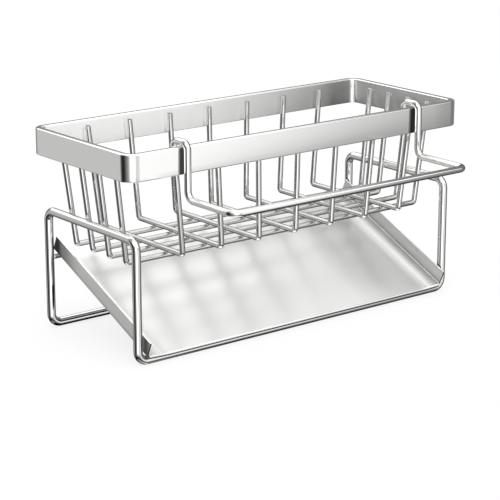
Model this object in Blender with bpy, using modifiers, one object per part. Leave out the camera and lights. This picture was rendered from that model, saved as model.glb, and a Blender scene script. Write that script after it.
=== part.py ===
"""Sink organizer: a wire basket with a flat-bar rim, on a bent wire stand, with a sloping drip
tray below it and a towel bar hooked over the front of the rim. All of it is bare stainless steel.

The basket and its stand are welded into one rigid piece. The drip tray pulls straight out
between the front legs, and the towel bar lifts up off the rim.
+X runs along the organizer's length, -Y is the front and +Z is up. The origin is on the
counter, under the middle of the whole part. Lengths are in metres.
"""
import math

import bmesh
import bpy
from mathutils import Quaternion, Vector

# Fit between pieces
WELD_GAP = 0.0003            # left between two pieces that are welded together
REST_GAP = 0.0003            # left under a loose piece and the piece that carries it
BEND_STEPS = 8               # straight steps in a quarter turn of wire

# Rim: a flat bar on edge, bent to a rounded rectangle
RIM_LENGTH = 0.244
RIM_DEPTH = 0.0964
RIM_TOP = 0.1196             # height of its top edge above the counter
RIM_HEIGHT = 0.0153
RIM_THICKNESS = 0.0044
RIM_CORNER_RADIUS = 0.008    # outer face
RIM_CHAMFER = 0.0007

# Basket wires: seven U shapes from front to back, on four U shapes from end to end
WIRE_DIAMETER = 0.003
WIRE_BEND_RADIUS = 0.0018    # centre line
WIRE_SIDES = 12              # flats around the basket's wires and the tray rail
WIRE_END_DROP = 0.0033       # from the rim's top edge down to the wires' cut ends
CROSS_WIRE_COUNT = 7
CROSS_WIRE_MARGIN = 0.0303   # from the rim's inside to the first and the last cross wire
CROSS_WIRE_DRAW_IN = 0.002   # how far each end leans in, from the rim to the floor
CROSS_ROW_DRAW_IN = 0.0066   # how far the first and last wire stand in at the floor
LONG_WIRE_COUNT = 4
LONG_WIRE_MARGIN = 0.0177    # from the rim's inside to the first and the last long wire
LONG_WIRE_DRAW_IN = 0.0078   # how far each end leans in, from the rim to the floor
LONG_ROW_DRAW_IN = 0.0016    # how far the first and last wire stand in at the floor
LONG_WIRE_HEIGHT = 0.0534    # centre line of the long wires' floor runs

# Stand: one thick wire bent into a front rail, a rear rail, four legs and two top bars
STAND_WIRE_DIAMETER = 0.005
STAND_BEND_RADIUS = 0.0058
STAND_INSET = 0.0046         # from the rim's front and rear faces to the legs' centre lines
TOP_BAR_HEIGHT = 0.0706      # centre line of the two bars that carry the basket
STAND_SIDES = 16             # flats around the stand's wire; one of them lies on the counter

# Tray rail: a thin straight wire between the rear legs
TRAY_RAIL_DIAMETER = 0.003

# Drip tray: one sheet with its ends turned up and its front edge turned down over the front rail
TRAY_SLOPE = math.radians(24.0)
TRAY_SHEET = 0.001
TRAY_SIDE_CLEARANCE = 0.0011 # between the tray's ends and the legs
TRAY_FLANGE_HEIGHT = 0.0104  # from the plate's underside
TRAY_FOLD_RADIUS = 0.0006    # inside the upturned ends' folds
TRAY_LIP_RADIUS = 0.0005     # inside the front lip's fold
TRAY_LIP_RUN = 0.0002        # straight part of the lip, below its fold
TRAY_REAR_OVERHANG = 0.0032  # past the tray rail
FOLD_STEPS = 4

# Towel bar: one rod with a hook at each end
TOWEL_ROD_DIAMETER = 0.004
TOWEL_BAR_REACH = 0.0452     # from the rim's front face to the bar's front
TOWEL_BAR_HEIGHT = 0.0908    # centre line of the bar and its arms
TOWEL_BEND_RADIUS = 0.005
TOWEL_ROD_SIDES = 16
HOOK_BEND_RADIUS = 0.004     # centre line, of the two bends over the rim
HOOK_STAND_OFF = 0.0008      # between the hook's outer leg and the rim
HOOK_PLAY = 0.0036           # between the hook's inner leg and the rim
HOOK_DROP = 0.008            # from the rim's top edge down to the inner leg's end
HOOK_INSET = 0.0018          # from the last cross wire in to the hook, along the rim

# Places that follow from the sizes above. Y is measured from the middle of the rim.
BODY_Y = TOWEL_BAR_REACH / 2
WIRE_RADIUS = WIRE_DIAMETER / 2
STAND_RADIUS = STAND_WIRE_DIAMETER / 2
TOWEL_RADIUS = TOWEL_ROD_DIAMETER / 2
TRAY_RAIL_RADIUS = TRAY_RAIL_DIAMETER / 2
WIRE_TOP = RIM_TOP - WIRE_END_DROP
WIRE_INSET = RIM_THICKNESS + WELD_GAP + WIRE_RADIUS
WIRE_TOP_X = RIM_LENGTH / 2 - WIRE_INSET
WIRE_TOP_Y = RIM_DEPTH / 2 - WIRE_INSET
FLOOR_X = WIRE_TOP_X - LONG_WIRE_DRAW_IN
FLOOR_Y = WIRE_TOP_Y - CROSS_WIRE_DRAW_IN
CROSS_WIRE_HEIGHT = LONG_WIRE_HEIGHT + WIRE_DIAMETER + WELD_GAP
CROSS_ROW_X = RIM_LENGTH / 2 - RIM_THICKNESS - CROSS_WIRE_MARGIN
LONG_ROW_Y = RIM_DEPTH / 2 - RIM_THICKNESS - LONG_WIRE_MARGIN
LONG_WIRE_LEAN = math.atan2(LONG_WIRE_DRAW_IN, WIRE_TOP - LONG_WIRE_HEIGHT)
LONG_WIRE_X_AT_BAR = FLOOR_X + (TOP_BAR_HEIGHT - LONG_WIRE_HEIGHT) * math.tan(LONG_WIRE_LEAN)
LEG_X = LONG_WIRE_X_AT_BAR + (WIRE_RADIUS + STAND_RADIUS + WELD_GAP) / math.cos(LONG_WIRE_LEAN)
LEG_Y = RIM_DEPTH / 2 - STAND_INSET
RAIL_HEIGHT = STAND_RADIUS * math.cos(math.pi / STAND_SIDES)
TRAY_UNDERSIDE = STAND_RADIUS + REST_GAP
TRAY_RAIL_OFF = TRAY_UNDERSIDE - REST_GAP - TRAY_RAIL_RADIUS
TRAY_RAIL_ALONG = (2 * LEG_Y + TRAY_RAIL_OFF * math.sin(TRAY_SLOPE)) / math.cos(TRAY_SLOPE)
LAST_WIRE_SLANT = CROSS_ROW_DRAW_IN / (WIRE_TOP - CROSS_WIRE_HEIGHT)
LAST_WIRE_X = CROSS_ROW_X - LAST_WIRE_SLANT * (HOOK_DROP - WIRE_END_DROP)
HOOK_OUTER_Y = -RIM_DEPTH / 2 - HOOK_STAND_OFF - TOWEL_RADIUS
HOOK_INNER_Y = -RIM_DEPTH / 2 + RIM_THICKNESS + HOOK_PLAY + TOWEL_RADIUS
HOOK_TO_WIRE = WIRE_RADIUS + TOWEL_RADIUS + WELD_GAP
HOOK_TO_WIRE_Y = min(HOOK_INNER_Y + WIRE_TOP_Y, HOOK_TO_WIRE)
HOOK_X = LAST_WIRE_X - max(HOOK_INSET, math.sqrt(HOOK_TO_WIRE ** 2 - HOOK_TO_WIRE_Y ** 2))


def clear_scene():
    for obj in list(bpy.data.objects):
        bpy.data.objects.remove(obj, do_unlink=True)


def steel(name, roughness):
    """Bare stainless steel."""
    material = bpy.data.materials.new(name)
    material.use_nodes = True
    shader = material.node_tree.nodes["Principled BSDF"]
    shader.inputs["Base Color"].default_value = (0.74, 0.74, 0.73, 1.0)
    shader.inputs["Metallic"].default_value = 1.0
    shader.inputs["Roughness"].default_value = roughness
    return material


def place(obj, collection, parent, material=None):
    collection.objects.link(obj)
    obj.parent = parent
    if material is not None:
        obj.data.materials.append(material)
    return obj


def bent_path(corners, bend_radius, closed=False):
    """Points along straight runs through the corners, each corner turned on the bend radius."""
    corners = [Vector(corner) for corner in corners]
    count = len(corners)
    points = []
    for index, corner in enumerate(corners):
        if not closed and index in (0, count - 1):
            points.append(corner)
            continue
        arriving = (corner - corners[index - 1]).normalized()
        leaving = (corners[(index + 1) % count] - corner).normalized()
        turn = arriving.angle(leaving)
        start = corner - arriving * bend_radius * math.tan(turn / 2)
        centre = corner + (leaving - arriving).normalized() * bend_radius / math.cos(turn / 2)
        axis = arriving.cross(leaving)
        steps = max(2, round(BEND_STEPS * turn / math.radians(90)))
        for step in range(steps + 1):
            swing = Quaternion(axis, turn * step / steps)
            points.append(centre + swing @ (start - centre))
    return points


def slid(corners, run, point, facing):
    """The corners, moved along the run to the plane through the point that faces so."""
    return [corner + run * ((point - corner).dot(facing) / run.dot(facing)) for corner in corners]


def wire(name, points, radius, sides, closed=False):
    """A round wire along the points, mitred at each, with a flat square to the first bend's plane."""
    count = len(points)
    runs = [(points[(index + 1) % count] - points[index]).normalized()
            for index in range(count if closed else count - 1)]
    across = runs[0].cross(runs[1]).normalized() if len(runs) > 1 else Vector((0.0, 0.0, 1.0))
    other = runs[0].cross(across)
    corners = []
    for side in range(sides):
        angle = 2 * math.pi * (side + 0.5) / sides
        corners.append(points[0] + radius * (across * math.cos(angle) + other * math.sin(angle)))
    if closed:
        corners = slid(corners, runs[0], points[0], runs[-1] + runs[0])
    rings = [corners]
    for index in range(1, count):
        leaving = runs[index] if index < len(runs) else runs[-1]
        rings.append(slid(rings[-1], runs[index - 1], points[index], runs[index - 1] + leaving))

    tube = bmesh.new()
    rings = [[tube.verts.new(corner) for corner in ring] for ring in rings]
    if closed:
        back = slid([rings[-1][0].co], runs[-1], points[0], runs[-1] + runs[0])[0]
        turn = min(range(sides), key=lambda side: (rings[0][side].co - back).length)
        rings.append(rings[0][turn:] + rings[0][:turn])
    else:
        tube.faces.new(rings[0])
        tube.faces.new(rings[-1])
    for ring, following in zip(rings, rings[1:]):
        for side in range(sides):
            after = (side + 1) % sides
            tube.faces.new((ring[side], ring[after], following[after], following[side]))
    bmesh.ops.recalc_face_normals(tube, faces=tube.faces)
    mesh = bpy.data.meshes.new(name)
    tube.to_mesh(mesh)
    tube.free()
    return bpy.data.objects.new(name, mesh)


def rounded_rectangle(length, depth, corner_radius):
    """Outline points in a plane, anticlockwise, with a quarter turn at each corner."""
    points = []
    for quarter in range(4):
        side_x = 1 if quarter in (0, 3) else -1
        side_y = 1 if quarter in (0, 1) else -1
        centre_x = side_x * (length / 2 - corner_radius)
        centre_y = side_y * (depth / 2 - corner_radius)
        for step in range(BEND_STEPS + 1):
            angle = math.radians(90) * (quarter + step / BEND_STEPS)
            points.append((centre_x + corner_radius * math.cos(angle),
                           centre_y + corner_radius * math.sin(angle)))
    return points


def make_rim(collection, parent):
    """The flat bar seen from above: an outer and an inner outline, raised to the bar's height."""
    curve = bpy.data.curves.new("rim_band", "CURVE")
    curve.dimensions = "2D"
    curve.fill_mode = "BOTH"
    curve.extrude = RIM_HEIGHT / 2 - RIM_CHAMFER
    curve.bevel_depth = RIM_CHAMFER
    curve.bevel_resolution = 0
    curve.offset = -RIM_CHAMFER
    inner_length = RIM_LENGTH - 2 * RIM_THICKNESS
    inner_depth = RIM_DEPTH - 2 * RIM_THICKNESS
    outlines = (rounded_rectangle(RIM_LENGTH, RIM_DEPTH, RIM_CORNER_RADIUS),
                rounded_rectangle(inner_length, inner_depth, RIM_CORNER_RADIUS - RIM_THICKNESS))
    for outline in outlines:
        spline = curve.splines.new("POLY")
        spline.points.add(len(outline) - 1)
        for target, (x, y) in zip(spline.points, outline):
            target.co = (x, y, 0.0, 1.0)
        spline.use_cyclic_u = True
    rim = bpy.data.objects.new("rim_band", curve)
    place(rim, collection, parent, steel("rim_steel", 0.22))
    rim.location.z = RIM_TOP - RIM_HEIGHT / 2


def make_cross_wires(collection, parent):
    """Front-to-back wires. They fan out a little towards the rim, as the basket widens."""
    material = steel("cross_wire_steel", 0.12)
    for index in range(CROSS_WIRE_COUNT):
        share = 2 * index / (CROSS_WIRE_COUNT - 1) - 1
        top_x = share * CROSS_ROW_X
        floor_x = share * (CROSS_ROW_X - CROSS_ROW_DRAW_IN)
        corners = [(top_x, -WIRE_TOP_Y, WIRE_TOP), (floor_x, -FLOOR_Y, CROSS_WIRE_HEIGHT),
                   (floor_x, FLOOR_Y, CROSS_WIRE_HEIGHT), (top_x, WIRE_TOP_Y, WIRE_TOP)]
        name = f"cross_wire_{index + 1}"
        path = bent_path(corners, WIRE_BEND_RADIUS)
        place(wire(name, path, WIRE_RADIUS, WIRE_SIDES), collection, parent, material)


def make_long_wires(collection, parent):
    """End-to-end wires, under the cross wires. Their sides lean out to the rim's ends."""
    material = steel("long_wire_steel", 0.12)
    for index in range(LONG_WIRE_COUNT):
        share = 2 * index / (LONG_WIRE_COUNT - 1) - 1
        top_y = share * LONG_ROW_Y
        floor_y = share * (LONG_ROW_Y - LONG_ROW_DRAW_IN)
        corners = [(-WIRE_TOP_X, top_y, WIRE_TOP), (-FLOOR_X, floor_y, LONG_WIRE_HEIGHT),
                   (FLOOR_X, floor_y, LONG_WIRE_HEIGHT), (WIRE_TOP_X, top_y, WIRE_TOP)]
        name = f"long_wire_{index + 1}"
        path = bent_path(corners, WIRE_BEND_RADIUS)
        place(wire(name, path, WIRE_RADIUS, WIRE_SIDES), collection, parent, material)


def make_stand(collection, parent):
    """One closed loop: front rail, leg, top bar, leg, rear rail, leg, top bar, leg."""
    corners = [(-LEG_X, -LEG_Y, RAIL_HEIGHT), (LEG_X, -LEG_Y, RAIL_HEIGHT),
               (LEG_X, -LEG_Y, TOP_BAR_HEIGHT), (LEG_X, LEG_Y, TOP_BAR_HEIGHT),
               (LEG_X, LEG_Y, RAIL_HEIGHT), (-LEG_X, LEG_Y, RAIL_HEIGHT),
               (-LEG_X, LEG_Y, TOP_BAR_HEIGHT), (-LEG_X, -LEG_Y, TOP_BAR_HEIGHT)]
    path = bent_path(corners, STAND_BEND_RADIUS, closed=True)
    stand = wire("stand_frame", path, STAND_RADIUS, STAND_SIDES, closed=True)
    place(stand, collection, parent, steel("stand_steel", 0.12))


def on_slope(along, off):
    """The (Y, Z) place that lies so far up the tray's slope and off it, from the front rail."""
    return (-LEG_Y + along * math.cos(TRAY_SLOPE) - off * math.sin(TRAY_SLOPE),
            RAIL_HEIGHT + along * math.sin(TRAY_SLOPE) + off * math.cos(TRAY_SLOPE))


def make_tray_rail(collection, parent):
    """The straight wire that carries the tray's rear edge, butt welded between the rear legs."""
    half_length = LEG_X - STAND_RADIUS - WELD_GAP
    y, z = on_slope(TRAY_RAIL_ALONG, TRAY_RAIL_OFF)
    ends = [Vector((-half_length, y, z)), Vector((half_length, y, z))]
    rail = wire("tray_rail", ends, TRAY_RAIL_RADIUS, WIRE_SIDES)
    place(rail, collection, parent, steel("tray_rail_steel", 0.12))


def arc(centre, radius, start_angle, end_angle):
    """Points on an arc in a plane, both ends included."""
    angles = [start_angle + (end_angle - start_angle) * step / FOLD_STEPS
              for step in range(FOLD_STEPS + 1)]
    return [(centre[0] + radius * math.cos(angle), centre[1] + radius * math.sin(angle))
            for angle in angles]


def make_tray(collection, parent):
    """The sheet's middle surface, thickened. Its own Y runs up the slope and its Z off the plate."""
    half_sheet = TRAY_SHEET / 2
    fold = TRAY_FOLD_RADIUS + half_sheet
    lip = TRAY_LIP_RADIUS + half_sheet
    half_length = LEG_X - STAND_RADIUS - TRAY_SIDE_CLEARANCE - half_sheet
    lip_turn = math.radians(90) - TRAY_SLOPE
    lip_off = TRAY_UNDERSIDE + half_sheet - lip + lip * math.cos(lip_turn)
    lip_y = STAND_RADIUS + REST_GAP + half_sheet
    front = (lip_off * math.sin(TRAY_SLOPE) - lip_y) / math.cos(TRAY_SLOPE) + lip * math.sin(lip_turn)
    rear = TRAY_RAIL_ALONG + TRAY_REAR_OVERHANG

    right = arc((half_length - fold, half_sheet + fold), fold, math.radians(-90), 0.0)
    right.append((half_length, TRAY_FLANGE_HEIGHT))
    across = [(-x, z) for x, z in reversed(right)] + right
    down = arc((front, half_sheet - lip), lip, math.radians(90), math.radians(90) + lip_turn)
    lip_end_y, lip_end_z = down[-1]
    down.append((lip_end_y - TRAY_LIP_RUN * math.cos(lip_turn),
                 lip_end_z - TRAY_LIP_RUN * math.sin(lip_turn)))

    sheet = bmesh.new()
    rear_row = [sheet.verts.new((x, rear, z)) for x, z in across]
    front_row = [sheet.verts.new((x, front, z)) for x, z in across]
    for column in range(len(across) - 1):
        sheet.faces.new((front_row[column], front_row[column + 1],
                         rear_row[column + 1], rear_row[column]))
    row = front_row[len(right) - 1:len(right) + 1]
    for y, z in down[1:]:
        next_row = [sheet.verts.new((vert.co.x, y, z)) for vert in row]
        sheet.faces.new((next_row[0], next_row[1], row[1], row[0]))
        row = next_row
    mesh = bpy.data.meshes.new("drip_tray")
    sheet.to_mesh(mesh)
    sheet.free()

    tray = bpy.data.objects.new("drip_tray", mesh)
    place(tray, collection, parent, steel("tray_steel", 0.3))
    tray.location.yz = on_slope(0.0, TRAY_UNDERSIDE)
    tray.rotation_euler.x = TRAY_SLOPE
    thicken = tray.modifiers.new("sheet", "SOLIDIFY")
    thicken.thickness = TRAY_SHEET
    thicken.offset = 0.0
    thicken.use_even_offset = True
    mesh.shade_smooth()
    mesh.set_sharp_from_angle(angle=math.radians(40))


def make_towel_bar(collection, parent):
    """From the left hook's inner leg, over the rim, forward, along the front and back again."""
    hook_top = RIM_TOP + REST_GAP + TOWEL_RADIUS
    bar_y = -RIM_DEPTH / 2 - TOWEL_BAR_REACH + TOWEL_RADIUS
    hook = bent_path([(-HOOK_X, HOOK_INNER_Y, RIM_TOP - HOOK_DROP),
                      (-HOOK_X, HOOK_INNER_Y, hook_top),
                      (-HOOK_X, HOOK_OUTER_Y, hook_top),
                      (-HOOK_X, HOOK_OUTER_Y, TOWEL_BAR_HEIGHT)], HOOK_BEND_RADIUS)
    arm = bent_path([hook[-2], hook[-1], (-HOOK_X, bar_y, TOWEL_BAR_HEIGHT),
                     (0.0, bar_y, TOWEL_BAR_HEIGHT)], TOWEL_BEND_RADIUS)
    half = hook[:-1] + arm[1:-1]
    other_half = [Vector((-point.x, point.y, point.z)) for point in reversed(half)]
    bar = wire("towel_bar", half + other_half, TOWEL_RADIUS, TOWEL_ROD_SIDES)
    place(bar, collection, parent, steel("towel_bar_steel", 0.12))


def build():
    clear_scene()
    collection = bpy.data.collections.new("sink_organizer")
    bpy.context.scene.collection.children.link(collection)
    body = place(bpy.data.objects.new("basket_and_stand", None), collection, None)
    body.location.y = BODY_Y
    make_rim(collection, body)
    make_cross_wires(collection, body)
    make_long_wires(collection, body)
    make_stand(collection, body)
    make_tray_rail(collection, body)
    make_tray(collection, body)
    make_towel_bar(collection, body)


build()
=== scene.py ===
"""The looks of the sink organizer: bright stainless wire, flat bar, rod and folded sheet."""
import math

import bmesh
import bpy
from mathutils import Matrix, Quaternion, Vector


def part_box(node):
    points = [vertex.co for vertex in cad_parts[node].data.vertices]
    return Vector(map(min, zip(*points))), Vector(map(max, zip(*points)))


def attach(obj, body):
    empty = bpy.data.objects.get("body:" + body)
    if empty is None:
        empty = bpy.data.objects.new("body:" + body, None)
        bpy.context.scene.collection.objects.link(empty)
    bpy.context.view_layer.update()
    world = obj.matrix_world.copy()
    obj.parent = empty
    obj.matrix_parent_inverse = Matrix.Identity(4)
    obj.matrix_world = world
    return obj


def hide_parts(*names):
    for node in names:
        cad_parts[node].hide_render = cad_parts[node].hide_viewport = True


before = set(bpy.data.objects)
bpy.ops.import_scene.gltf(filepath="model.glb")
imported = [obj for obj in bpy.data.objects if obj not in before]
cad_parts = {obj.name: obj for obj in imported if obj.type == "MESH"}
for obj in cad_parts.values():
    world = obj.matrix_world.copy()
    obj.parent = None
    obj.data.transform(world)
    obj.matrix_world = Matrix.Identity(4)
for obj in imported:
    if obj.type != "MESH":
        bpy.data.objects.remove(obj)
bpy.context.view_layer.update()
steelwork = bpy.data.collections.new("sink_organizer_steelwork")
bpy.context.scene.collection.children.link(steelwork)


# Rim. A flat bar of stainless steel stood on edge, bent round to a rectangle and brushed along its
# length. Its inside is duller and painted lighter than the steel, with painted shade that darkens
# it towards the rear right corner, where its two ends are butt welded, and a painted highlight on
# the turn there. Every basket wire ends against its inside.
RIGHT_ANGLE = math.radians(90)
RIM_THICKNESS = 0.0044
RIM_CORNER_RADIUS = 0.008
RIM_EDGE_RADIUS = 0.0007
RIM_CORNER_STEPS = 16
RIM_EDGE_STEPS = 4
RIM_SIDE_STEPS = 16
# how dark the painted shade inside the rim is, by the distance along the inside from the end of
# the turn, which is left light as a painted highlight
RIM_PAINTED_SHADE = [(-0.11, 0.2), (-0.08, 0.7), (-0.0037, 0.7), (-0.003, 0.1), (-0.0004, 0.1),
                 (0.0, 1.0), (0.014, 1.0), (0.037, 0.62), (0.067, 0.43), (0.095, 0.18),
                 (0.13, 0.04), (0.2, 0.0), (0.25, 0.0)]
RIM_SHADE_SHARES = (1.2, 0.28)    # of the steel's colour inside, painted lighter with no shade, and with the darkest painted shade
RIM_INSIDE_ROUGHNESS = 0.24
RIM_TURN_DULLNESS = 0.3          # the turn at the weld was dressed, and shines more, and takes less of the painted tone
HAIR = 0.0001                    # for telling one place from the next
rim_low, rim_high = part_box("rim_band")
inside_x, inside_y = rim_high.x - RIM_THICKNESS, rim_high.y - RIM_THICKNESS


def mesh_from(name, shape):
    """Ends the work on a shape and keeps it as a mesh."""
    mesh = bpy.data.meshes.new(name)
    shape.to_mesh(mesh)
    shape.free()
    return mesh


def eased_rectangle(width, height, radius):
    """A bar's section: (inward, up) points round a rectangle with its corners eased."""
    points = []
    for quarter, (side_in, side_up) in enumerate(((1, 1), (0, 1), (0, 0), (1, 0))):
        centre_in = radius + side_in * (width - 2 * radius)
        centre_up = radius + side_up * (height - 2 * radius)
        for step in range(RIM_EDGE_STEPS + 1):
            angle = RIGHT_ANGLE * (quarter + step / RIM_EDGE_STEPS)
            points.append((centre_in + radius * math.cos(angle),
                           centre_up + radius * math.sin(angle)))
    return points


def on_dressed_turn(place):
    """Whether a point of the rim's inside is on the turn at the rear right corner."""
    turn = RIM_CORNER_RADIUS - RIM_THICKNESS - HAIR
    return (inside_x - turn < place.x < inside_x - HAIR / 2
            and inside_y - turn < place.y < inside_y - HAIR / 2)


def painted_shade_at(place):
    """How dark the painted shade is at a point of the rim's inside."""
    along_rear, along_right = inside_x - place.x, inside_y - place.y
    if along_rear < RIM_CORNER_RADIUS - RIM_THICKNESS - HAIR / 2:
        run = -along_right
    elif along_right < RIM_CORNER_RADIUS:
        run = along_rear
    else:
        return 0.0
    for (start, dark), (end, next_dark) in zip(RIM_PAINTED_SHADE, RIM_PAINTED_SHADE[1:]):
        if start <= run <= end:
            return dark + (next_dark - dark) * (run - start) / (end - start)
    return 0.0


def rim_turn_centre(quarter):
    """The point that the bar is bent round at a corner, counted from the rear right one."""
    x = rim_high.x - RIM_CORNER_RADIUS if quarter % 4 in (0, 3) else rim_low.x + RIM_CORNER_RADIUS
    y = rim_high.y - RIM_CORNER_RADIUS if quarter % 4 in (0, 1) else rim_low.y + RIM_CORNER_RADIUS
    return Vector((x, y, rim_low.z))


def made_rim():
    section = eased_rectangle(RIM_THICKNESS, rim_high.z - rim_low.z, RIM_EDGE_RADIUS)
    bar = bmesh.new()
    painted_shade = bar.verts.layers.float.new("painted_corner_shade")
    dull = bar.verts.layers.float.new("dull_inside")
    rings = []
    for quarter in range(4):
        centre = rim_turn_centre(quarter)
        for step in range(RIM_CORNER_STEPS + 1):
            angle = RIGHT_ANGLE * (quarter + step / RIM_CORNER_STEPS)
            rings.append([centre + Vector(((RIM_CORNER_RADIUS - inward) * math.cos(angle),
                                           (RIM_CORNER_RADIUS - inward) * math.sin(angle), up))
                          for inward, up in section])
        side = rim_turn_centre(quarter + 1) - centre
        corner_end = rings[-1]
        for step in range(1, RIM_SIDE_STEPS):
            rings.append([place + side * step / RIM_SIDE_STEPS for place in corner_end])
    rings = [[bar.verts.new(place) for place in ring] for ring in rings]
    for ring, following in zip(rings, rings[1:] + rings[:1]):
        for index, (inward, _) in enumerate(section):
            after = (index + 1) % len(section)
            bar.faces.new((ring[index], ring[after], following[after], following[index]))
            if inward > RIM_THICKNESS - HAIR:
                vert = ring[index]
                vert[painted_shade] = painted_shade_at(vert.co)
                vert[dull] = RIM_TURN_DULLNESS if on_dressed_turn(vert.co) else 1.0
    bmesh.ops.recalc_face_normals(bar, faces=bar.faces)
    return mesh_from("brushed_rim", bar)


# every piece is the same bright stainless, worked in different ways: wire and rod are drawn
# through a die, the rim is brushed and the sheet is rolled. The wire, stand, rod and sheet colours
# below are darker copies of its colour, as painted shade
STEEL_COLOUR = (0.83, 0.83, 0.82)
GRAIN_SPREAD = (0.12, 0.38)      # the noise between the least and the most roughness
GRAIN_DEPTH = 0.0001
GRAIN_STRENGTH = 0.5


def add_node(tree, kind, inputs=(), **settings):
    """Adds a shader node. Each of its inputs is given a value, or the socket that feeds it."""
    node = tree.nodes.new("ShaderNode" + kind)
    for name, value in settings.items():
        setattr(node, name, value)
    for socket, given in (inputs.items() if isinstance(inputs, dict) else enumerate(inputs)):
        if isinstance(given, bpy.types.NodeSocket):
            tree.links.new(given, node.inputs[socket])
        else:
            node.inputs[socket].default_value = given
    return node


def worked_out(tree, operation, *values):
    """A number worked out from others, such as the larger of two."""
    return add_node(tree, "Math", values, operation=operation).outputs[0]


def graded(tree, value, low, high, at_low, at_high, **settings):
    """A number that goes from at_low to at_high as the value goes from low to high."""
    given = {"Value": value, "From Min": low, "From Max": high,
             "To Min": at_low, "To Max": at_high}
    return add_node(tree, "MapRange", given, **settings).outputs["Result"]


def toned(tree, colour, share):
    """The colour, times a share that changes over the surface."""
    scaled = add_node(tree, "VectorMath", {0: colour, "Scale": share}, operation="SCALE")
    return scaled.outputs["Vector"]


def effect_group(name, inputs, outputs):
    """An empty node group, with the sockets of what it is given and of the numbers it makes."""
    group = bpy.data.node_groups.new(name, "ShaderNodeTree")
    for socket, kind in inputs.items():
        group.interface.new_socket(socket, in_out="INPUT", socket_type="NodeSocket" + kind)
    for socket in outputs:
        group.interface.new_socket(socket, in_out="OUTPUT", socket_type="NodeSocketFloat")
    given = group.nodes.new("NodeGroupInput").outputs
    made = group.nodes.new("NodeGroupOutput").inputs
    return group, given, made


def made_grain_group():
    """Fine lines left by brushing or drawing, and the broad cloudiness of a handled surface."""
    group, given, made = effect_group(
        "worked_steel_grain", {"Vector": "Vector", "Line Scale": "Vector", "Cloud Scale": "Float",
                               "Least Roughness": "Float", "Most Roughness": "Float",
                               "Line Depth": "Float"}, ("Roughness", "Height"))
    stretched = add_node(group, "VectorMath", (given["Vector"], given["Line Scale"]),
                         operation="MULTIPLY").outputs["Vector"]
    lines = add_node(group, "TexNoise",
                     {"Vector": stretched, "Scale": 1.0, "Detail": 4.0}).outputs["Fac"]
    clouds = add_node(group, "TexNoise", {"Vector": given["Vector"], "Scale": given["Cloud Scale"],
                                          "Detail": 2.0}).outputs["Fac"]
    roughness = graded(group, worked_out(group, "MULTIPLY", lines, clouds), *GRAIN_SPREAD,
                       given["Least Roughness"], given["Most Roughness"])
    group.links.new(roughness, made["Roughness"])
    group.links.new(worked_out(group, "MULTIPLY", lines, given["Line Depth"]), made["Height"])
    return group


worked_steel_grain = made_grain_group()


def worked_steel(name, line_scale, cloud_scale, roughness, line_depth, colour=STEEL_COLOUR,
                 edge_tint=(1.0, 1.0, 1.0), reflection_glow=0.0):
    """Stainless steel with grain lines stretched along the axis whose line scale is smallest.

    Reflection glow is a painted reflection: a glow that only other steel's reflections of the
    piece show, which makes it brighter there."""
    material = bpy.data.materials.new(name)
    material.use_nodes = True
    tree = material.node_tree
    shader = tree.nodes["Principled BSDF"].inputs
    shader["Base Color"].default_value = (*colour, 1.0)
    shader["Metallic"].default_value = 1.0
    shader["Specular Tint"].default_value = (*edge_tint, 1.0)
    place = add_node(tree, "TexCoord", name="place").outputs["Object"]
    grain = add_node(tree, "Group", {
        "Vector": place, "Line Scale": line_scale, "Cloud Scale": cloud_scale,
        "Least Roughness": roughness[0], "Most Roughness": roughness[1], "Line Depth": line_depth,
    }, name="grain", node_tree=worked_steel_grain)
    bump = add_node(tree, "Bump", {"Strength": GRAIN_STRENGTH, "Distance": GRAIN_DEPTH,
                                   "Height": grain.outputs["Height"]})
    feed(material, "Roughness", grain.outputs["Roughness"])
    feed(material, "Normal", bump.outputs["Normal"])
    # painted reflection: a glow that only glossy rays see, so the piece looks brighter in other
    # steel
    if reflection_glow > 0.0:
        ray = add_node(tree, "LightPath", name="ray")
        glow = add_node(tree, "Math", (ray.outputs["Is Glossy Ray"], reflection_glow),
                        name="reflection_glow", operation="MULTIPLY")
        feed(material, "Emission Color", glow.outputs[0])
        shader["Emission Strength"].default_value = 1.0
    return material


def feed(material, socket, source):
    """Lets another node's output set one of the steel's own sockets."""
    tree = material.node_tree
    tree.links.new(source, tree.nodes["Principled BSDF"].inputs[socket])


def along(tree, coordinate):
    """The X, Y and Z of a point of the piece, or of the way that its surface faces there."""
    return add_node(tree, "SeparateXYZ", (tree.nodes["place"].outputs[coordinate],)).outputs


def finished(name, mesh, material, body, slot, *nodes, sharp=30):
    """Puts a mesh into the object as a piece that rides on a body and stands for its nodes."""
    mesh.materials.clear()
    mesh.materials.append(material)
    mesh.shade_smooth()
    mesh.set_sharp_from_angle(angle=math.radians(sharp))
    piece = bpy.data.objects.new(name, mesh)
    steelwork.objects.link(piece)
    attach(piece, body)
    if nodes:
        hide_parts(*nodes)
    return piece


brushed_bar = worked_steel("brushed_bar", line_scale=(25.0, 25.0, 3500.0), cloud_scale=30.0,
                           roughness=(0.09, 0.13), line_depth=0.04, reflection_glow=0.4)
tree = brushed_bar.node_tree
# painted light inside the rim: the steel's colour made lighter, with painted shade towards the
# rear right corner and a painted highlight on the turn there
painted_shade = add_node(tree, "Attribute", attribute_name="painted_corner_shade").outputs["Fac"]
dull = add_node(tree, "Attribute", attribute_name="dull_inside").outputs["Fac"]
left_bright = graded(tree, painted_shade, 0.0, 1.0, *RIM_SHADE_SHARES)
inside_only = add_node(tree, "Mix", {"Factor": dull, "A": 1.0, "B": left_bright}).outputs["Result"]
feed(brushed_bar, "Base Color", toned(tree, STEEL_COLOUR, inside_only))
feed(brushed_bar, "Roughness", worked_out(tree, "MULTIPLY_ADD", dull, RIM_INSIDE_ROUGHNESS,
                                          tree.nodes["grain"].outputs["Roughness"]))
finished("brushed_rim", made_rim(), brushed_bar, "basket_and_stand", "rim_band", "rim_band")


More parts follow.
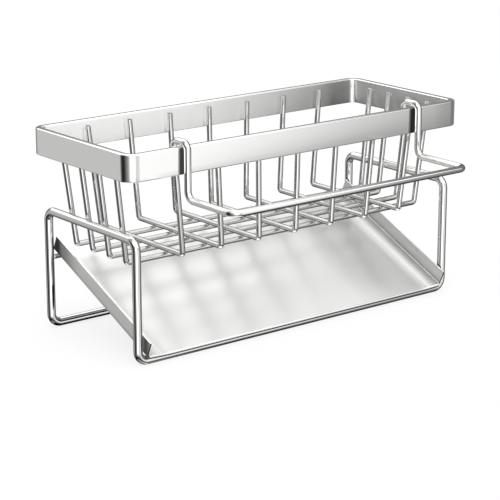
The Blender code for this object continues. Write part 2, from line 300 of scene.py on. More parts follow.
# Cross wires. Seven drawn wires, each bent to a U from front to back and welded inside the rim,
# their sawn ends just below its top. They lean outwards a little on the way up.
WIRE_RADIUS = 0.0015
# a darker copy of the steel's colour: painted shade
WIRE_COLOUR = (0.54, 0.54, 0.535)
WIRE_UNDERSIDE = 0.5         # painted shade: how much of its colour a wire keeps on its underside
UNDERSIDE_FADE = (-0.45, -0.15)
BEND_WEIGHT = 3.0            # how much sooner a bend's side counts as its underside
BEND_HIGHLIGHT_FADE = (-0.14, -0.04)
BEND_HIGHLIGHT_SHARE = 1.9           # painted highlight: how much brighter a wire is made under its bends
WIRE_BEND_RADIUS = 0.0018
WIRE_END_DROP = 0.0033
CROSS_DRAW_IN = 0.002        # how much further in than its ends a wire stands on the floor
CUT_EDGE = 0.0003            # how far a sawn wire's end is eased
WELD_GAP = 0.0003
WIRE_FULLNESS = 0.0001       # drawn this much fuller in radius, the wires close their weld gaps
BEND_STEPS = 14
TUBE_DETAIL = 10
SAME_PLACE = 0.000002
CROSS_WIRES = [f"cross_wire_{index}" for index in range(1, 8)]
LONG_WIRES = [f"long_wire_{index}" for index in range(1, 5)]


def bent_path(corners, bend_radius, closed=False):
    """Points along straight runs through the corners, each corner turned on the bend radius."""
    corners = [Vector(corner) for corner in corners]
    points = []
    for index, corner in enumerate(corners):
        if not closed and index in (0, len(corners) - 1):
            points.append(corner)
            continue
        arriving = (corner - corners[index - 1]).normalized()
        leaving = (corners[(index + 1) % len(corners)] - corner).normalized()
        turn = arriving.angle(leaving)
        start = corner - arriving * bend_radius * math.tan(turn / 2)
        centre = corner + (leaving - arriving).normalized() * bend_radius / math.cos(turn / 2)
        axis = arriving.cross(leaving)
        steps = max(3, round(BEND_STEPS * turn / RIGHT_ANGLE))
        for step in range(steps + 1):
            points.append(centre + Quaternion(axis, turn * step / steps) @ (start - centre))
    return points


def drawn_wire(name, path, radius, closed=False):
    """A smooth round wire along the path, its two ends sawn square and eased."""
    radii = [1.0] * len(path)
    if not closed:
        eased = 1.0 - CUT_EDGE / radius
        first = path[0] + (path[1] - path[0]).normalized() * CUT_EDGE
        last = path[-1] + (path[-2] - path[-1]).normalized() * CUT_EDGE
        path = [path[0], first, *path[1:-1], last, path[-1]]
        radii = [eased, 1.0, *radii[1:-1], 1.0, eased]
    curve = bpy.data.curves.new(name, "CURVE")
    curve.dimensions = "3D"
    curve.bevel_depth = radius
    curve.bevel_resolution = TUBE_DETAIL
    curve.use_fill_caps = not closed
    spline = curve.splines.new("POLY")
    spline.points.add(len(path) - 1)
    for target, place, size in zip(spline.points, path, radii):
        target.co = (*place, 1.0)
        target.radius = size
    spline.use_cyclic_u = closed
    former = bpy.data.objects.new(name + "_former", curve)
    steelwork.objects.link(former)
    bpy.context.view_layer.update()
    shaped = former.evaluated_get(bpy.context.evaluated_depsgraph_get())
    mesh = bpy.data.meshes.new_from_object(shaped)
    bpy.data.objects.remove(former)
    mesh.name = name
    seamless = bmesh.new()
    seamless.from_mesh(mesh)
    bmesh.ops.remove_doubles(seamless, verts=seamless.verts, dist=SAME_PLACE)
    seamless.to_mesh(mesh)
    seamless.free()
    return mesh


def leaning(low, high, middle):
    """Where a wire stands at its ends and on the floor: it leans away from the middle."""
    near, far = low + WIRE_RADIUS, high - WIRE_RADIUS
    return (near, far) if low + high < 2 * middle else (far, near)


def made_bend_group():
    """Painted light under a bend, highlight or shade by the tone given, and how far round it a
    point is.
    """
    group, given, made = effect_group(
        "painted_bend_light", {"Facing": "Vector", "Fade Start": "Float", "Fade End": "Float",
                           "Tone Under Bend": "Float"}, ("Tone", "Round Bend"))
    facing = add_node(group, "SeparateXYZ", (given["Facing"],)).outputs
    sideways = worked_out(group, "MULTIPLY", facing["X"], facing["Y"])
    round_bend = worked_out(group, "ABSOLUTE", sideways)
    under_bend = worked_out(group, "MULTIPLY", round_bend, facing["Z"])
    tone = graded(group, under_bend, given["Fade Start"], given["Fade End"],
                  given["Tone Under Bend"], 1.0)
    group.links.new(tone, made["Tone"])
    group.links.new(round_bend, made["Round Bend"])
    return group


painted_bend_light = made_bend_group()


def painted_bend_tone(tree, fade, tone):
    """Places that effect in a wire's material, with the values of its own."""
    return add_node(tree, "Group", {
        "Facing": tree.nodes["place"].outputs["Normal"], "Fade Start": fade[0],
        "Fade End": fade[1], "Tone Under Bend": tone,
    }, node_tree=painted_bend_light).outputs


def weld_in_wire(name, corners):
    path = bent_path(corners, WIRE_BEND_RADIUS)
    finished("bright_" + name, drawn_wire("bright_" + name, path, WIRE_RADIUS + WIRE_FULLNESS),
             drawn_bright_wire, "basket_and_stand", "basket_wire", name)


drawn_bright_wire = worked_steel("drawn_bright_wire", line_scale=(700.0, 700.0, 700.0),
                                 cloud_scale=60.0, roughness=(0.05, 0.10), line_depth=0.05,
                                 colour=WIRE_COLOUR, edge_tint=(0.1, 0.1, 0.1), reflection_glow=0.25)
tree = drawn_bright_wire.node_tree
# painted shade on the wires' undersides and a painted highlight under their bends
bend_highlight = painted_bend_tone(tree, BEND_HIGHLIGHT_FADE, BEND_HIGHLIGHT_SHARE)
below = worked_out(tree, "MULTIPLY_ADD", bend_highlight["Round Bend"], BEND_WEIGHT,
                   along(tree, "Normal")["Z"])
underside_shade = graded(tree, below, *UNDERSIDE_FADE, WIRE_UNDERSIDE, 1.0)
wire_tone = worked_out(tree, "MULTIPLY", underside_shade, bend_highlight["Tone"])
feed(drawn_bright_wire, "Base Color", toned(tree, WIRE_COLOUR, wire_tone))
wire_end_z = rim_high.z - WIRE_END_DROP
wire_inset = RIM_THICKNESS + WELD_GAP + WIRE_RADIUS
for name in CROSS_WIRES:
    low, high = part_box(name)
    end_x, floor_x = leaning(low.x, high.x, 0.0)
    floor_z = low.z + WIRE_RADIUS
    floor_inset = wire_inset + CROSS_DRAW_IN
    weld_in_wire(name, [(end_x, rim_low.y + wire_inset, wire_end_z),
                        (floor_x, rim_low.y + floor_inset, floor_z),
                        (floor_x, rim_high.y - floor_inset, floor_z),
                        (end_x, rim_high.y - wire_inset, wire_end_z)])


# Long wires. Four drawn wires bent to a U from end to end, under the cross wires that they are
# welded to. Their sides lean out to the rim's ends and touch the stand's top bars.
LONG_DRAW_IN = 0.0078
middle_y = (rim_low.y + rim_high.y) / 2
for name in LONG_WIRES:
    low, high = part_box(name)
    end_y, floor_y = leaning(low.y, high.y, middle_y)
    floor_z = low.z + WIRE_RADIUS
    floor_inset = wire_inset + LONG_DRAW_IN
    weld_in_wire(name, [(rim_low.x + wire_inset, end_y, wire_end_z),
                        (rim_low.x + floor_inset, floor_y, floor_z),
                        (rim_high.x - floor_inset, floor_y, floor_z),
                        (rim_high.x - wire_inset, end_y, wire_end_z)])


# Stand. One length of thicker wire bent into a front rail, a rear rail, four legs and two top
# bars, its two ends butt welded and dressed flush. The basket's long wires are welded to it.
STAND_RADIUS = 0.0025
STAND_BEND_RADIUS = 0.0058
# a darker copy of the steel's colour: painted shade
STAND_COLOUR = (0.73, 0.73, 0.72)
STAND_BEND_FADE = (-0.14, -0.03)
STAND_BEND_SHADE = 0.32      # painted shade: the share of the colour left under its bends
stand_low, stand_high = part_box("stand_frame")
leg_left, leg_right = stand_low.x + STAND_RADIUS, stand_high.x - STAND_RADIUS
leg_front, leg_rear = stand_low.y + STAND_RADIUS, stand_high.y - STAND_RADIUS
rail_z, top_bar_z = STAND_RADIUS, stand_high.z - STAND_RADIUS
stand_path = bent_path([(leg_left, leg_front, rail_z), (leg_right, leg_front, rail_z),
                        (leg_right, leg_front, top_bar_z), (leg_right, leg_rear, top_bar_z),
                        (leg_right, leg_rear, rail_z), (leg_left, leg_rear, rail_z),
                        (leg_left, leg_rear, top_bar_z), (leg_left, leg_front, top_bar_z)],
                       STAND_BEND_RADIUS, closed=True)
stand_wire = worked_steel("stand_wire", line_scale=(500.0, 500.0, 500.0), cloud_scale=45.0,
                          roughness=(0.05, 0.10), line_depth=0.05, colour=STAND_COLOUR,
                          edge_tint=(0.3, 0.3, 0.3), reflection_glow=0.15)
tree = stand_wire.node_tree
# painted shade under the stand's bends
bend_shade = painted_bend_tone(tree, STAND_BEND_FADE, STAND_BEND_SHADE)["Tone"]
feed(stand_wire, "Base Color", toned(tree, STAND_COLOUR, bend_shade))
finished("bent_stand", drawn_wire("bent_stand", stand_path, STAND_RADIUS, closed=True), stand_wire,
         "basket_and_stand", "stand_wire", "stand_frame")


# Tray rail. A thin straight wire butt welded between the rear legs. The drip tray's rear edge
# lies on it.
rail_low, rail_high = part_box("tray_rail")
rail_y, rail_height = (rail_low.y + rail_high.y) / 2, (rail_low.z + rail_high.z) / 2
rail_ends = [Vector((x, rail_y, rail_height)) for x in (rail_low.x, rail_high.x)]
finished("rear_tray_rail", drawn_wire("rear_tray_rail", rail_ends, WIRE_RADIUS), stand_wire,
         "basket_and_stand", "stand_wire", "tray_rail")


# Welds. Small flattened nubs of steel where two wires were pressed and fused: at each crossing of
# the basket's floor, at the rim, at the stand's top bars and at the ends of the tray rail.
WELD_COLOUR = (0.74, 0.73, 0.71)
RIM_WELD_DROP = 0.0048
# half sizes of the nubs across and along the two pieces that they join
FLOOR_NUB = (0.0011, 0.0011, 0.0005)
RIM_NUB_DEPTH, RIM_NUB_WIDTH, RIM_NUB_HEIGHT = 0.0004, 0.0009, 0.001
TOP_BAR_NUB = (0.0005, 0.0012, 0.0012)
RAIL_END_NUB = (0.0006, 0.0017, 0.0017)


def welds_at(name, nubs):
    """Nubs as ellipsoids, each with its centre and its half sizes."""
    welds = bmesh.new()
    for centre, size in nubs:
        place = Matrix.Translation(centre) @ Matrix.Diagonal((*size, 1.0))
        bmesh.ops.create_uvsphere(welds, u_segments=16, v_segments=10, radius=1.0, matrix=place)
    return mesh_from(name, welds)


floor_nubs, rim_nubs, stand_nubs = [], [], []
rim_weld_z = rim_high.z - RIM_WELD_DROP
rim_gap = RIM_THICKNESS + WELD_GAP / 2
for name in CROSS_WIRES:
    low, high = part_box(name)
    end_x, floor_x = leaning(low.x, high.x, 0.0)
    for y in (rim_low.y + rim_gap, rim_high.y - rim_gap):
        rim_nubs.append(((end_x, y, rim_weld_z), (RIM_NUB_WIDTH, RIM_NUB_DEPTH, RIM_NUB_HEIGHT)))
    for long_wire in LONG_WIRES:
        long_low, long_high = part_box(long_wire)
        _, floor_y = leaning(long_low.y, long_high.y, middle_y)
        floor_nubs.append(((floor_x, floor_y, low.z - WELD_GAP / 2), FLOOR_NUB))
for name in LONG_WIRES:
    low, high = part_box(name)
    end_y, floor_y = leaning(low.y, high.y, middle_y)
    for x in (rim_low.x + rim_gap, rim_high.x - rim_gap):
        rim_nubs.append(((x, end_y, rim_weld_z), (RIM_NUB_DEPTH, RIM_NUB_WIDTH, RIM_NUB_HEIGHT)))
    floor_z = low.z + WIRE_RADIUS
    share = (top_bar_z - floor_z) / (wire_end_z - floor_z)
    y = floor_y + share * (end_y - floor_y)
    for x in (leg_left + STAND_RADIUS + WELD_GAP / 2, leg_right - STAND_RADIUS - WELD_GAP / 2):
        stand_nubs.append(((x, y, top_bar_z), TOP_BAR_NUB))
for x in (leg_left + STAND_RADIUS, leg_right - STAND_RADIUS):
    stand_nubs.append(((x, rail_y, rail_height), RAIL_END_NUB))

weld_steel = worked_steel("weld_steel", line_scale=(900.0, 900.0, 900.0), cloud_scale=200.0,
                          roughness=(0.2, 0.35), line_depth=0.5, colour=WELD_COLOUR)
for name, nubs, slot in (("floor_welds", floor_nubs, "basket_wire"),
                         ("rim_welds", rim_nubs, "basket_wire"),
                         ("stand_welds", stand_nubs, "stand_wire")):
    finished(name, welds_at(name, nubs), weld_steel, "basket_and_stand", slot)


# Drip tray. One sheet, its two ends folded up, its front edge folded down over the front rail and
# its edges deburred. It lies loose on the front rail and the tray rail and slopes to the front.
# a darker copy of the steel's colour: painted shade
TRAY_COLOUR = (0.79, 0.79, 0.78)
TRAY_SLOPE = math.radians(24.0)
TRAY_SHEET = 0.001
TRAY_FLANGE_HEIGHT = 0.0104
TRAY_FOLD_RADIUS = 0.0006
TRAY_LIP_RADIUS = 0.0002
TRAY_LIP_CURL = math.radians(52.0)   # how far the lip is turned back under, past upright
TRAY_REST_GAP = 0.0003
TRAY_EDGE = 0.0002
TRAY_SHARP_FROM = math.radians(50.0)
TRAY_SWELL_STARTS = 0.015            # from each fold, where bending begins to lift the sheet
TRAY_SWELL_ENDS = 0.008
TRAY_SWELL_SLOPE = math.radians(3.5)
FOLD_STEPS = 8
SWELL_STEPS = 5
# painted highlight and shade along each fold: shares of the sheet's colour, from the end of the
# swell over the fold to the flange's top edge, which gets a painted highlight
TRAY_SWELL_END_TONE = 1.16
TRAY_FOLD_TONES = (0.78, 0.80, 0.95, 1.15, 1.26, 1.15, 0.95, 0.78, 0.75)
TRAY_FLANGE_TONES = (0.97, 1.02, 1.26)
TRAY_FLANGE_FOOT = 0.0014            # where the first of them is, above the fold
TRAY_CUT_EDGE = 0.0004               # where the second is, below the top
# painted light on the plate's right end: tones at the rear and at the front, by the distance from
# the fold
TRAY_RIGHT_TONES = ((0.062, 1.08, 1.17), (0.036, 0.86, 1.08), (TRAY_SWELL_STARTS, 0.75, 0.86))
TRAY_LIP_SHADE = 0.85                # painted shade: how dark the lip's lower part is
TRAY_LIP_SHADE_RUN = (0.3, 0.7)      # the shares of the turn where the shade starts and is full
TRAY_STRAINED_FROM = 1.1             # from this tone on, bending has left the sheet matt
TRAY_STRAIN = 6.0
TRAY_BURNISH = -0.18                 # the press brake has burnished the lip
TRAY_SHADE_SIDE = (0.5, 0.8)         # how far outwards a surface faces where the painted shade starts and is full
TRAY_REAR_SHADE = (0.030, 0.95)      # painted shade: how far from a flange's end its outside is dark, how dark
TRAY_FRONT_SHADE = (0.011, 0.68)
TRAY_CUT_SHADE = 0.95
TRAY_CUT_FACING = (-0.85, -0.6)
TRAY_CUT_FADE = 0.0003
_, tray_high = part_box("drip_tray")


def arc(centre, radius, start_angle, end_angle):
    """Points on an arc in a plane, both ends included."""
    angles = [start_angle + (end_angle - start_angle) * step / FOLD_STEPS
              for step in range(FOLD_STEPS + 1)]
    return [(centre[0] + radius * math.cos(angle), centre[1] + radius * math.sin(angle))
            for angle in angles]


def plate_tones(swell_columns, row):
    """Tones of painted light from the left edge to the right, in row 0, the rear, or row 1, the
    front.
    """
    left = [1.0] * (swell_columns - 1)
    left += [TRAY_SWELL_END_TONE, *TRAY_FOLD_TONES, *TRAY_FLANGE_TONES]
    right = list(left)
    last = len(TRAY_RIGHT_TONES) - 1
    for column in range(swell_columns):
        right_tone = TRAY_RIGHT_TONES[min(column, last)][1 + row]
        fade = 1.0 - max(0, column - last) / SWELL_STEPS
        right[column] *= 1.0 + (right_tone - 1.0) * fade
    return left[::-1] + right


def made_tray():
    """The sheet's middle surface. Its own Y runs up the slope and its Z off the plate."""
    half_sheet = TRAY_SHEET / 2
    fold = TRAY_FOLD_RADIUS + half_sheet
    lip = TRAY_LIP_RADIUS + half_sheet
    underside = STAND_RADIUS + TRAY_REST_GAP
    half_length = tray_high.x - half_sheet
    lip_turn = RIGHT_ANGLE - TRAY_SLOPE
    lip_off = underside + half_sheet - lip + lip * math.cos(lip_turn)
    lip_y = underside + half_sheet
    front = (lip_off * math.sin(TRAY_SLOPE) - lip_y) / math.cos(TRAY_SLOPE)
    front += lip * math.sin(lip_turn)
    rear_drop = leg_front - tray_high.y
    rear = (-rear_drop + underside * math.sin(TRAY_SLOPE)) / math.cos(TRAY_SLOPE)

    fold_x = half_length - fold * math.cos(TRAY_SWELL_SLOPE / 2)
    swell = [(fold_x - distance, half_sheet) for distance, _, _ in TRAY_RIGHT_TONES[:-1]]
    run = TRAY_SWELL_STARTS - TRAY_SWELL_ENDS
    for step in range(SWELL_STEPS + 1):
        share = step / SWELL_STEPS
        swell.append((fold_x - TRAY_SWELL_STARTS + share * run,
                      half_sheet + share ** 2 * run / 2 * math.tan(TRAY_SWELL_SLOPE)))
    lift = swell[-1][1] + TRAY_SWELL_ENDS * math.tan(TRAY_SWELL_SLOPE)
    flange = arc((half_length - fold, lift + fold), fold, TRAY_SWELL_SLOPE - RIGHT_ANGLE, 0.0)
    flange += [(half_length, lift + fold + TRAY_FLANGE_FOOT),
               (half_length, TRAY_FLANGE_HEIGHT - TRAY_CUT_EDGE),
               (half_length, TRAY_FLANGE_HEIGHT)]
    right = swell + flange
    across = [(-x, z) for x, z in reversed(right)] + right
    down = arc((front, half_sheet - lip), lip, RIGHT_ANGLE, RIGHT_ANGLE + lip_turn + TRAY_LIP_CURL)

    sheet = bmesh.new()
    tone_of = sheet.verts.layers.float.new("painted_sheet_light")
    burnished = sheet.verts.layers.float.new("burnished_edge")
    rows = []
    for row, y in enumerate((rear, front)):
        rows.append([sheet.verts.new((x, y, z)) for x, z in across])
        for vert, tone in zip(rows[-1], plate_tones(len(swell), row)):
            vert[tone_of] = tone
            if tone > TRAY_STRAINED_FROM and abs(vert.co.x) < half_length - HAIR / 10:
                vert[burnished] = (1.0 - tone) * TRAY_STRAIN
    for rear_row, front_row in zip(rows, rows[1:]):
        for column in range(len(across) - 1):
            sheet.faces.new((front_row[column], front_row[column + 1],
                             rear_row[column + 1], rear_row[column]))
    row = rows[-1][len(flange) - 1:len(across) - len(flange) + 1]
    rises = [vert.co.z - half_sheet for vert in row]
    shade_start, shade_end = TRAY_LIP_SHADE_RUN
    for step, (y, z) in enumerate(down[1:], start=1):
        next_row = [sheet.verts.new((vert.co.x, y, z + rise)) for vert, rise in zip(row, rises)]
        shade = (step / FOLD_STEPS - shade_start) / (shade_end - shade_start)
        for vert in next_row:
            vert[tone_of] = 1.0 - TRAY_LIP_SHADE * min(1.0, max(0.0, shade))
            vert[burnished] = 1.0
        for column in range(len(row) - 1):
            sheet.faces.new((next_row[column], next_row[column + 1], row[column + 1], row[column]))
        row = next_row
    mesh = mesh_from("folded_tray", sheet)
    slope = Matrix.Translation((0.0, leg_front, rail_z)) @ Matrix.Rotation(TRAY_SLOPE, 4, "X")
    mesh.transform(slope @ Matrix.Translation((0.0, 0.0, underside)))
    return mesh


rolled_sheet = worked_steel("rolled_sheet", line_scale=(900.0, 40.0, 900.0), cloud_scale=8.0,
                            roughness=(0.30, 0.33), line_depth=0.01, colour=TRAY_COLOUR)
tree = rolled_sheet.node_tree
at, facing = along(tree, "Object"), along(tree, "Normal")
# painted shade on the flanges' outsides near their rear and front ends, and on their cut front
# edges
outwards = graded(tree, worked_out(tree, "MULTIPLY", at["X"], facing["X"]),
                  *(tray_high.x * share for share in TRAY_SHADE_SIDE), 0.0, 1.0)
at_rear = graded(tree, at["Y"], tray_high.y - TRAY_REAR_SHADE[0], tray_high.y,
                 0.0, TRAY_REAR_SHADE[1], interpolation_type="SMOOTHSTEP")
at_front = graded(tree, at["Y"], leg_front, leg_front + TRAY_FRONT_SHADE[0],
                  TRAY_FRONT_SHADE[1], 0.0, interpolation_type="SMOOTHSTEP")
end_shade = worked_out(tree, "MULTIPLY", outwards, worked_out(tree, "MAXIMUM", at_rear, at_front))
flange_inside_x = tray_high.x - TRAY_SHEET
on_flange = graded(tree, worked_out(tree, "ABSOLUTE", at["X"]), flange_inside_x - TRAY_CUT_FADE,
                   flange_inside_x, 0.0, 1.0)
cut_front = graded(tree, facing["Y"], *TRAY_CUT_FACING, TRAY_CUT_SHADE, 0.0)
cut_shade = worked_out(tree, "MULTIPLY", on_flange, cut_front)
unshaded = worked_out(tree, "SUBTRACT", 1.0, worked_out(tree, "MAXIMUM", end_shade, cut_shade))
# painted highlights and shade along the folds and the flanges' top edges, painted light on the
# plate's right end and painted shade on the lip's lower part
painted_sheet_light = add_node(tree, "Attribute", attribute_name="painted_sheet_light").outputs["Fac"]
feed(rolled_sheet, "Base Color",
     toned(tree, TRAY_COLOUR, worked_out(tree, "MULTIPLY", painted_sheet_light, unshaded)))
burnished = add_node(tree, "Attribute", attribute_name="burnished_edge").outputs["Fac"]
feed(rolled_sheet, "Roughness", worked_out(tree, "MULTIPLY_ADD", burnished, TRAY_BURNISH,
                                           tree.nodes["grain"].outputs["Roughness"]))
tray = finished("folded_tray", made_tray(), rolled_sheet, "tray", "tray_sheet", "drip_tray",
                sharp=40)
thicken = tray.modifiers.new("sheet", "SOLIDIFY")
thicken.thickness = TRAY_SHEET
thicken.offset = 0.0
thicken.use_even_offset = True
deburr = tray.modifiers.new("deburred", "BEVEL")
deburr.width = TRAY_EDGE
deburr.segments = 2
deburr.limit_method = "ANGLE"
deburr.angle_limit = TRAY_SHARP_FROM
deburr.harden_normals = True


# Towel bar. One rod bent to a wide U, with a hook at each end that drops over the front of the
# rim. It hangs there by its own weight and lifts off.
ROD_RADIUS = 0.002
# a darker copy of the steel's colour: painted shade
ROD_COLOUR = (0.75, 0.75, 0.74)
ROD_BEND_RADIUS = 0.005
HOOK_BEND_RADIUS = 0.004
HOOK_STAND_OFF = 0.0008
HOOK_PLAY = 0.0036
HOOK_DROP = 0.008
# painted reflection: how brightly the rod glows in the rim's steel, along its length, up the hooks
# and by its side
ROD_RUN_GLOW = (-0.06, 0.10, 1.2, 0.47)
ROD_HOOK_START = 0.003
ROD_SIDE_GLOW = (-0.5, 0.55, 0.8, 0.05)
bar_low, bar_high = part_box("towel_bar")
hook_x = bar_high.x - ROD_RADIUS
outer_y = rim_low.y - HOOK_STAND_OFF - ROD_RADIUS
inner_y = rim_low.y + RIM_THICKNESS + HOOK_PLAY + ROD_RADIUS
over_z = bar_high.z - ROD_RADIUS
bar_y, bar_z = bar_low.y + ROD_RADIUS, bar_low.z + ROD_RADIUS
hook = bent_path([(-hook_x, inner_y, rim_high.z - HOOK_DROP), (-hook_x, inner_y, over_z),
                  (-hook_x, outer_y, over_z), (-hook_x, outer_y, bar_z)], HOOK_BEND_RADIUS)
arm = bent_path([hook[-2], hook[-1], (-hook_x, bar_y, bar_z), (0.0, bar_y, bar_z)],
                ROD_BEND_RADIUS)
half_rod = hook[:-1] + arm[1:-1]
rod_path = half_rod + [Vector((-place.x, place.y, place.z)) for place in reversed(half_rod)]
drawn_rod = worked_steel("drawn_rod", line_scale=(600.0, 600.0, 600.0), cloud_scale=50.0,
                         roughness=(0.05, 0.10), line_depth=0.05, colour=ROD_COLOUR,
                         edge_tint=(0.3, 0.3, 0.3), reflection_glow=1.0)
tree = drawn_rod.node_tree
at, facing = along(tree, "Object"), along(tree, "Normal")
# painted reflection: the rod's glow in the rim's steel
run_glow = graded(tree, at["X"], *ROD_RUN_GLOW)
hook_glow = graded(tree, at["Z"], bar_z + ROD_HOOK_START, rim_low.z, 1.0, 0.0)
side_glow = graded(tree, facing["Y"], *ROD_SIDE_GLOW)
glow = worked_out(tree, "MULTIPLY", run_glow, worked_out(tree, "MAXIMUM", hook_glow, side_glow))
tree.links.new(glow, tree.nodes["reflection_glow"].inputs[1])
# in reflections the rod's colour is turned off, so that they show only its painted glow
seen_directly = graded(tree, tree.nodes["ray"].outputs["Is Glossy Ray"], 0.0, 1.0, 1.0, 0.0)
feed(drawn_rod, "Base Color", toned(tree, ROD_COLOUR, seen_directly))
finished("hooked_towel_bar", drawn_wire("hooked_towel_bar", rod_path, ROD_RADIUS), drawn_rod,
         "towel_bar_body", "towel_rod", "towel_bar")


# Table. A pale matt top that runs out of sight. The steel doesn't mirror it, but sees two dark
# strips under the tray, which nothing else sees: a painted shadow of the tray on the table.
TABLE_SIZE = 12.0
TABLE_COLOUR = (0.95, 0.95, 0.95)
TABLE_GLOW = 0.8             # how much of the white that the camera sees is the table's own
STRIP_COLOUR = (0.02, 0.02, 0.02)
STRIP_HEIGHT = 0.0001
TRAY_SHADOW_STRIPS = ((leg_front + 0.006, leg_rear - 0.035), (leg_rear - 0.0038, leg_rear + 0.006))


def matt(name, colour):
    """A plain surface without any shine."""
    material = bpy.data.materials.new(name)
    material.use_nodes = True
    shader = material.node_tree.nodes["Principled BSDF"].inputs
    shader["Base Color"].default_value = (*colour, 1.0)
    shader["Roughness"].default_value = 1.0
    shader["Specular IOR Level"].default_value = 0.0
    return material


def laid_flat(name, material, rectangles, height):
    """A flat part of the set, from rectangles given by their left, near, right and far sides."""
    flat = bmesh.new()
    for left, near, right, far in rectangles:
        corners = ((left, near), (right, near), (right, far), (left, far))
        flat.faces.new([flat.verts.new((x, y, height)) for x, y in corners])
    mesh = mesh_from(name, flat)
    mesh.materials.append(material)
    part = bpy.data.objects.new(name, mesh)
    bpy.context.scene.collection.objects.link(part)
    return part


half_table = TABLE_SIZE / 2
matt_white = matt("matt_white", TABLE_COLOUR)
tree = matt_white.node_tree
table_glow = add_node(tree, "Emission").outputs["Emission"]
from_camera = add_node(tree, "LightPath").outputs["Is Camera Ray"]
glow_share = worked_out(tree, "MULTIPLY", from_camera, TABLE_GLOW)
lit_table = add_node(tree, "MixShader", {
    "Fac": glow_share, 1: tree.nodes["Principled BSDF"].outputs["BSDF"], 2: table_glow})
tree.links.new(lit_table.outputs["Shader"], tree.nodes["Material Output"].inputs["Surface"])
table_top = laid_flat("table_top", matt_white,
                      [(-half_table, -half_table, half_table, half_table)], 0.0)
table_top.visible_glossy = False
# painted shadow: dark strips under the tray that only reflections see
strips = [(leg_left, near, leg_right, far) for near, far in TRAY_SHADOW_STRIPS]
shade_under_tray = laid_flat("shade_under_tray", matt("matt_black", STRIP_COLOUR), strips,
                             STRIP_HEIGHT)
for seen_by in ("visible_camera", "visible_diffuse", "visible_shadow", "visible_transmission"):
    setattr(shade_under_tray, seen_by, False)


# Light. An even white tent and one soft lamp overhead. The steel sees a white roof and grey and
# dark panels round it instead, which is how bright steel is lit so that its edges read.
TENT_LIGHT = 1.05
# brightness of the panels at the horizon, by compass angle from +X towards +Y in degrees
PANELS = [(0, 0.30), (38, 0.30), (46, 0.26), (54, 0.24), (98, 0.26), (108, 0.50), (114, 0.63),
          (128, 0.63), (134, 0.58), (142, 0.24), (150, 0.06), (158, 0.022), (174, 0.02),
          (181, 0.07), (190, 0.17), (204, 0.32), (213, 0.55), (221, 1.0), (228, 1.8), (232, 2.6),
          (250, 2.6), (258, 1.7), (265, 0.90), (271, 0.80), (279, 0.85), (290, 0.80), (300, 1.2),
          (307, 1.2), (311, 0.76), (314, 0.46), (322, 0.26), (340, 0.22)]
# how much higher than usual the white roof starts there, and how bright it is
ROOF = [(0, 0.57, 1.7), (12, 0.57, 1.7), (20, 0.54, 1.7), (23, 0.465, 1.7), (38, 0.45, 1.7),
        (46, 0.10, 1.6), (54, 0.0, 1.6), (62, 0.12, 1.9), (98, 0.20, 1.9), (114, 0.20, 1.9),
        (128, 0.20, 1.6), (134, 0.20, 0.47), (158, 0.20, 0.45), (172, 0.20, 0.45),
        (180, 0.20, 1.2), (195, 0.20, 1.6), (302, 0.20, 1.6), (311, 0.10, 1.6), (322, 0.10, 1.6),
        (330, 0.47, 1.6), (340, 0.52, 1.6), (352, 0.56, 1.7), (360, 0.57, 1.7)]
# share of the roof's light, and how far it takes over from the panels, by the elevation's sine
HEIGHTS = [(-1.0, 0.75, 1.0), (-0.88, 0.75, 1.0), (-0.82, 0.04, 1.0), (-0.70, 0.04, 1.0),
           (-0.60, 0.16, 1.0), (-0.46, 0.16, 0.5), (-0.36, 0.16, 0.0), (-0.01, 0.16, 0.0),
           (0.01, 1.0, 0.0), (0.18, 1.0, 0.0), (0.27, 1.0, 1.0), (1.0, 1.0, 1.0)]
LAMP_SIZE = 1.6
LAMP_POWER = 9.0
LAMP_PLACE = (-0.6, -0.7, 2.0)
LAMP_TARGET = Vector((0.0, 0.0, 0.05))


def ramp(tree, position, rows):
    """A ramp of brightness and, as its alpha, one more number, by (place, brightness, number)."""
    node = add_node(tree, "ValToRGB", {"Fac": position})
    stops = node.color_ramp.elements
    while len(stops) > 1:
        stops.remove(stops[-1])
    for index, (place, light, number) in enumerate(rows):
        stop = stops[0] if index == 0 else stops.new(place)
        stop.position = place
        stop.color = (light, light, light, number)
    return node.outputs


world = bpy.data.worlds.new("white_tent")
bpy.context.scene.world = world
world.use_nodes = True
tree = world.node_tree
tree.nodes.clear()
looking = add_node(tree, "TexCoord").outputs["Generated"]
way = add_node(tree, "SeparateXYZ", (looking,)).outputs
compass = worked_out(tree, "DIVIDE", worked_out(tree, "ARCTAN2", way["Y"], way["X"]), 2 * math.pi)
compass = worked_out(tree, "FRACT", compass)
panels = ramp(tree, compass, [(angle / 360, light, 1.0) for angle, light in PANELS])
roof = ramp(tree, compass, [(angle / 360, light, raised) for angle, raised, light in ROOF])
above = worked_out(tree, "MAXIMUM", way["Z"], 0.0)
lowered = worked_out(tree, "SUBTRACT", way["Z"], worked_out(tree, "MINIMUM", above, roof["Alpha"]))
bands = ramp(tree, graded(tree, lowered, -1.0, 1.0, 0.0, 1.0),
             [((height + 1) / 2, light, share) for height, light, share in HEIGHTS])
roof_light = add_node(tree, "VectorMath", (bands["Color"], roof["Color"]), operation="MULTIPLY")
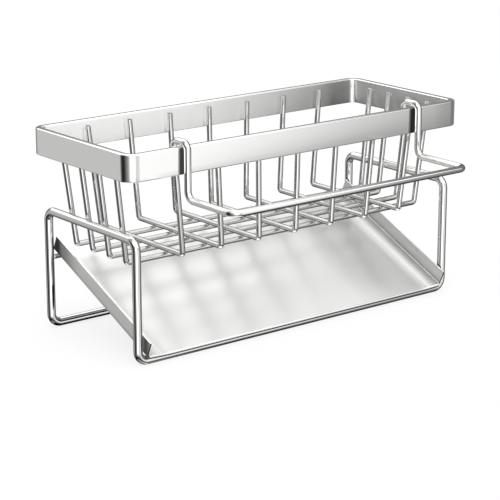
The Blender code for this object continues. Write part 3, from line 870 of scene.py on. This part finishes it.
seen = add_node(tree, "Mix", {"Factor": bands["Alpha"], "A": panels["Color"],
                              "B": roof_light.outputs["Vector"]}, data_type="RGBA")
tent_for_steel = add_node(tree, "Background", {"Color": seen.outputs["Result"]})
even_tent = add_node(tree, "Background", {"Color": (1.0, 1.0, 1.0, 1.0), "Strength": TENT_LIGHT})
by_ray = add_node(tree, "MixShader", {
    "Fac": add_node(tree, "LightPath").outputs["Is Glossy Ray"],
    1: even_tent.outputs["Background"], 2: tent_for_steel.outputs["Background"]})
add_node(tree, "OutputWorld", {"Surface": by_ray.outputs["Shader"]})

softbox = bpy.data.lights.new("overhead_softbox", "AREA")
softbox.shape = "DISK"
softbox.size = LAMP_SIZE
softbox.energy = LAMP_POWER
lamp = bpy.data.objects.new("overhead_softbox", softbox)
bpy.context.scene.collection.objects.link(lamp)
lamp.location = LAMP_PLACE
lamp.rotation_euler = (LAMP_TARGET - lamp.location).to_track_quat("-Z", "Y").to_euler()
lamp.visible_glossy = False


# Camera. It stands at the front left, a little above the rim, with a long lens. Its place and its
# lens were fitted to the edges in the photo.
CAMERA_AZIMUTH = math.radians(-38.43)
CAMERA_ELEVATION = math.radians(15.89)
CAMERA_DISTANCE = 1.1161
CAMERA_TARGET = Vector((0.00096, 0.02602, 0.0353))
LENS_PIXELS = 1866.0
FRAME_PIXELS = 500.0
SENSOR_WIDTH = 36.0
camera = bpy.data.cameras.new("camera")
camera.sensor_width = SENSOR_WIDTH
camera.lens = LENS_PIXELS / FRAME_PIXELS * SENSOR_WIDTH
view = bpy.data.objects.new("camera", camera)
bpy.context.scene.collection.objects.link(view)
away = Vector((math.sin(CAMERA_AZIMUTH) * math.cos(CAMERA_ELEVATION),
               -math.cos(CAMERA_AZIMUTH) * math.cos(CAMERA_ELEVATION),
               math.sin(CAMERA_ELEVATION)))
view.location = CAMERA_TARGET + away * CAMERA_DISTANCE
view.rotation_euler = (RIGHT_ANGLE - CAMERA_ELEVATION, 0.0, CAMERA_AZIMUTH)
bpy.context.scene.camera = view
bpy.context.scene.view_settings.view_transform = "Standard"
